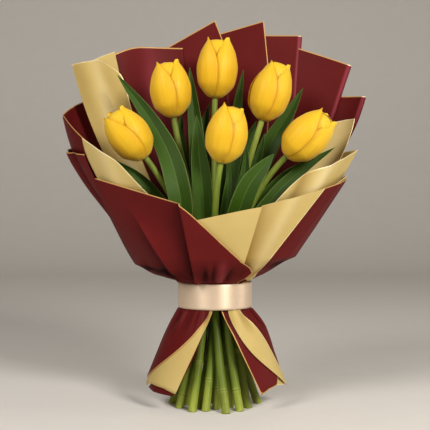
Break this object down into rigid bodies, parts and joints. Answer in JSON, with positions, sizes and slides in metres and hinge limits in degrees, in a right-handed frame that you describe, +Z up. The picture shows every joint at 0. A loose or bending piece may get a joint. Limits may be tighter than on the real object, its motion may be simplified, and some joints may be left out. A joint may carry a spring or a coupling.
{
  "type": "bunch of tulips",
  "caption": "Hand-tied bunch of tulips wrapped in two-tone paper with a satin ribbon, standing on its splayed cut stems.",
  "frame": {"origin": "the middle of the cut stem ends, on the surface that the bunch stands on", "axes": "+Z up the bunch, +X to its right seen from the front, -Y to the front"},
  "size_m": [0.3022, 0.1443, 0.395],
  "materials": {
    "petal": "soft satin petal",
    "green": "waxy leaf and stem",
    "burgundy_paper": "satin burgundy outside, gold inside",
    "gold_paper": "satin gold outside, burgundy inside",
    "satin": "champagne satin",
    "twine": "natural twine"
  },
  "bodies": {
    "root": {"stem_bloom_1": "green", "stem_bloom_2": "green", "stem_bloom_3": "green", "stem_bloom_4": "green", "stem_bloom_5": "green", "stem_bloom_6": "green", "stem_leaf_front": "green", "stem_leaf_front_left": "green", "stem_leaf_front_right": "green", "stem_leaf_left": "green", "stem_leaf_right": "green", "stem_leaf_back_left": "green", "stem_leaf_back_right": "green", "stem_leaf_centre": "green", "bloom_1": "petal", "bloom_2": "petal", "bloom_3": "petal", "bloom_4": "petal", "bloom_5": "petal", "bloom_6": "petal", "stem_binding": "twine", "wrap_front_left": "burgundy_paper", "wrap_front_right": "gold_paper", "wrap_right_side": "burgundy_paper", "wrap_right_gold_low": "gold_paper", "wrap_right_gold": "gold_paper", "wrap_right_gold_tall": "gold_paper", "wrap_left_gold": "gold_paper", "wrap_left_collar": "burgundy_paper", "wrap_left_outer": "burgundy_paper", "wrap_left_tall": "gold_paper", "wrap_back_1": "gold_paper", "wrap_back_2": "gold_paper", "wrap_back_3": "gold_paper", "wrap_back_4": "gold_paper", "wrap_back_5": "gold_paper", "wrap_back_6": "gold_paper", "ribbon": "satin"}
  },
  "joints": []
}
